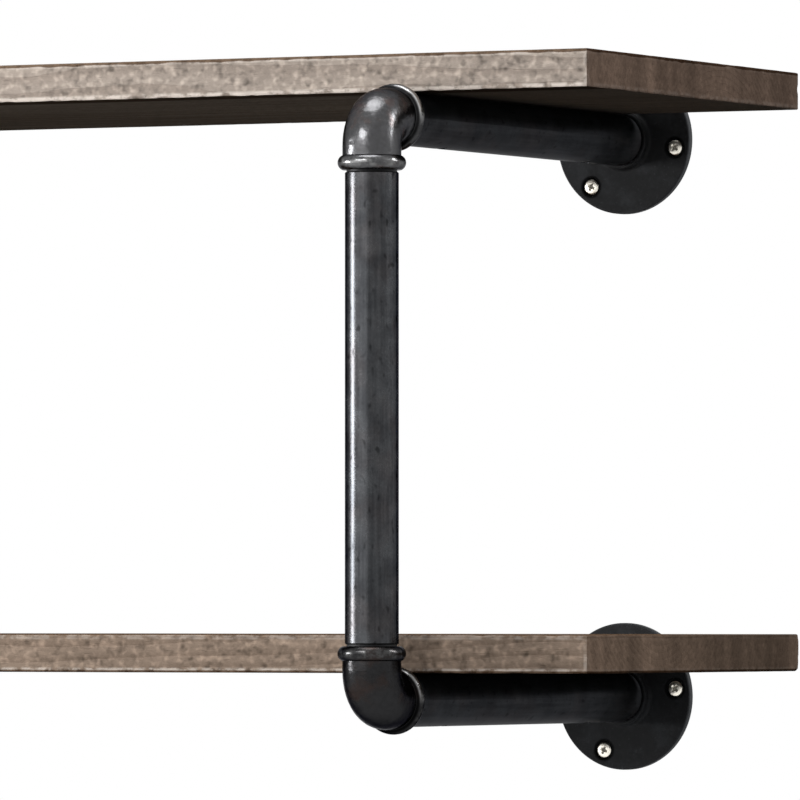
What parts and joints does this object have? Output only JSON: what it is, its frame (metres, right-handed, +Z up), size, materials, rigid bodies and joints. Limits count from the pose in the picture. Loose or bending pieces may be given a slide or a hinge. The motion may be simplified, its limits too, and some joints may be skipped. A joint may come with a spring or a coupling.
{
  "type": "pipe shelving unit",
  "caption": "Wall-hung shelf with wooden boards carried in tiers by C-shaped brackets of threaded black pipe, beaded elbows and round wall flanges.",
  "frame": {"origin": "on the wall plane behind the flanges, midway between the two brackets and the two tiers", "axes": "+X along the boards to the right as seen from the room, +Y into the wall, +Z up"},
  "size_m": [0.762, 0.3353, 0.383],
  "materials": {
    "shelf_wood": "grey-brown weathered stain, satin, rough-sawn edges",
    "black_pipe": "black lacquered steel pipe, semi-gloss",
    "cast_elbow": "gunmetal grey cast iron, satin",
    "cast_flange": "blackened cast iron, matt",
    "screw_zinc": "bright zinc plate"
  },
  "bodies": {
    "root": {"upper_shelf": "shelf_wood", "lower_shelf": "shelf_wood", "left_upright": "black_pipe", "left_lower_arm": "black_pipe", "left_lower_elbow": "cast_elbow", "left_lower_flange": "cast_flange", "left_lower_wall_screws": "screw_zinc", "left_lower_shelf_screws": "screw_zinc", "left_upper_arm": "black_pipe", "left_upper_elbow": "cast_elbow", "left_upper_flange": "cast_flange", "left_upper_wall_screws": "screw_zinc", "left_upper_shelf_screws": "screw_zinc", "right_upright": "black_pipe", "right_lower_arm": "black_pipe", "right_lower_elbow": "cast_elbow", "right_lower_flange": "cast_flange", "right_lower_wall_screws": "screw_zinc", "right_lower_shelf_screws": "screw_zinc", "right_upper_arm": "black_pipe", "right_upper_elbow": "cast_elbow", "right_upper_flange": "cast_flange", "right_upper_wall_screws": "screw_zinc", "right_upper_shelf_screws": "screw_zinc"}
  },
  "joints": []
}
